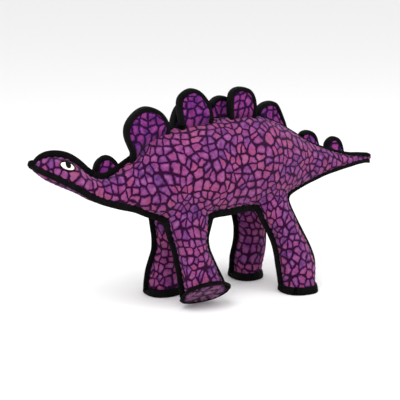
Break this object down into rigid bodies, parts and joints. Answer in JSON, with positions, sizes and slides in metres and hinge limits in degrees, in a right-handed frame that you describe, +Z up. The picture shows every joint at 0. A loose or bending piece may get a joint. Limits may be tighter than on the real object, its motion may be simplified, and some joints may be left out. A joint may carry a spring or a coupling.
{
  "type": "stuffed toy dinosaur",
  "caption": "Stuffed fabric stegosaurus standing on splayed padded feet, with bound seams and padded back plates.",
  "frame": {"origin": "under the middle of the toy, on the surface that its feet stand on", "axes": "+X from head to tail, +Y towards the toy's right flank, +Z up"},
  "size_m": [0.43, 0.124, 0.238],
  "materials": {
    "scale_fleece": "brushed fleece printed with purple scales in a dark outline",
    "plate_fleece": "the same printed fleece, quilted over wadding",
    "sole_fleece": "printed fleece, flat",
    "webbing": "black woven webbing, folded over the seam and stitched",
    "wadding": "loose polyester fibre",
    "eye_white": "white satin-stitch embroidery",
    "eye_black": "black satin-stitch embroidery",
    "pouch_cloth": "plain woven cotton",
    "squeaker_plastic": "soft moulded plastic"
  },
  "bodies": {
    "body": {"left_side_panel": "scale_fleece", "right_side_panel": "scale_fleece", "belly_panel": "scale_fleece", "body_stuffing": "wadding", "spine_binding": "webbing", "left_belly_binding": "webbing", "right_belly_binding": "webbing", "squeaker_pouch": "pouch_cloth", "squeaker_bulb": "squeaker_plastic", "squeaker_reed": "squeaker_plastic", "shoulder_plate": "plate_fleece", "shoulder_plate_band": "webbing", "withers_plate": "plate_fleece", "withers_plate_band": "webbing", "front_back_plate": "plate_fleece", "front_back_plate_band": "webbing", "middle_back_plate": "plate_fleece", "middle_back_plate_band": "webbing", "rear_back_plate": "plate_fleece", "rear_back_plate_band": "webbing", "rump_plate": "plate_fleece", "rump_plate_band": "webbing"},
    "head_and_neck": {"head_left_panel": "scale_fleece", "head_right_panel": "scale_fleece", "chin_panel": "scale_fleece", "head_stuffing": "wadding", "crown_binding": "webbing", "left_mouth_binding": "webbing", "right_mouth_binding": "webbing", "left_eye_white": "eye_white", "left_eye_pupil": "eye_black", "right_eye_white": "eye_white", "right_eye_pupil": "eye_black", "neck_plate": "plate_fleece", "neck_plate_band": "webbing"},
    "tail": {"tail_left_panel": "scale_fleece", "tail_right_panel": "scale_fleece", "tail_under_panel": "scale_fleece", "tail_stuffing": "wadding", "tail_binding": "webbing", "tail_root_plate": "plate_fleece", "tail_root_plate_band": "webbing", "tail_tip_plate": "plate_fleece", "tail_tip_plate_band": "webbing"},
    "front_left_leg": {"front_left_leg_cover": "scale_fleece", "front_left_leg_stuffing": "wadding", "front_left_sole": "sole_fleece", "front_left_leg_binding": "webbing"},
    "rear_left_leg": {"rear_left_leg_cover": "scale_fleece", "rear_left_leg_stuffing": "wadding", "rear_left_sole": "sole_fleece", "rear_left_leg_binding": "webbing"},
    "front_right_leg": {"front_right_leg_cover": "scale_fleece", "front_right_leg_stuffing": "wadding", "front_right_sole": "sole_fleece", "front_right_leg_binding": "webbing"},
    "rear_right_leg": {"rear_right_leg_cover": "scale_fleece", "rear_right_leg_stuffing": "wadding", "rear_right_sole": "sole_fleece", "rear_right_leg_binding": "webbing"}
  },
  "joints": [
    {"name": "neck_nod", "type": "hinge", "parent": "body", "child": "head_and_neck", "pos_m": [-0.102, 0, 0.14075], "axis": [0, 1, 0], "range_deg": [-12, 12], "stiffness_Nm_per_rad": 3},
    {"name": "tail_wag", "type": "hinge", "parent": "body", "child": "tail", "pos_m": [0.114, 0, 0.144], "axis": [0, 0, 1], "range_deg": [-15, 15], "stiffness_Nm_per_rad": 2},
    {"name": "front_left_hip", "type": "hinge", "parent": "body", "child": "front_left_leg", "pos_m": [-0.045, -0.024, 0.113], "axis": [0, 1, 0], "range_deg": [-12, 12], "stiffness_Nm_per_rad": 6},
    {"name": "rear_left_hip", "type": "hinge", "parent": "body", "child": "rear_left_leg", "pos_m": [0.06, -0.024, 0.113], "axis": [0, 1, 0], "range_deg": [-12, 12], "stiffness_Nm_per_rad": 6},
    {"name": "front_right_hip", "type": "hinge", "parent": "body", "child": "front_right_leg", "pos_m": [-0.045, 0.024, 0.113], "axis": [0, 1, 0], "range_deg": [-12, 12], "stiffness_Nm_per_rad": 6},
    {"name": "rear_right_hip", "type": "hinge", "parent": "body", "child": "rear_right_leg", "pos_m": [0.06, 0.024, 0.113], "axis": [0, 1, 0], "range_deg": [-12, 12], "stiffness_Nm_per_rad": 6}
  ]
}
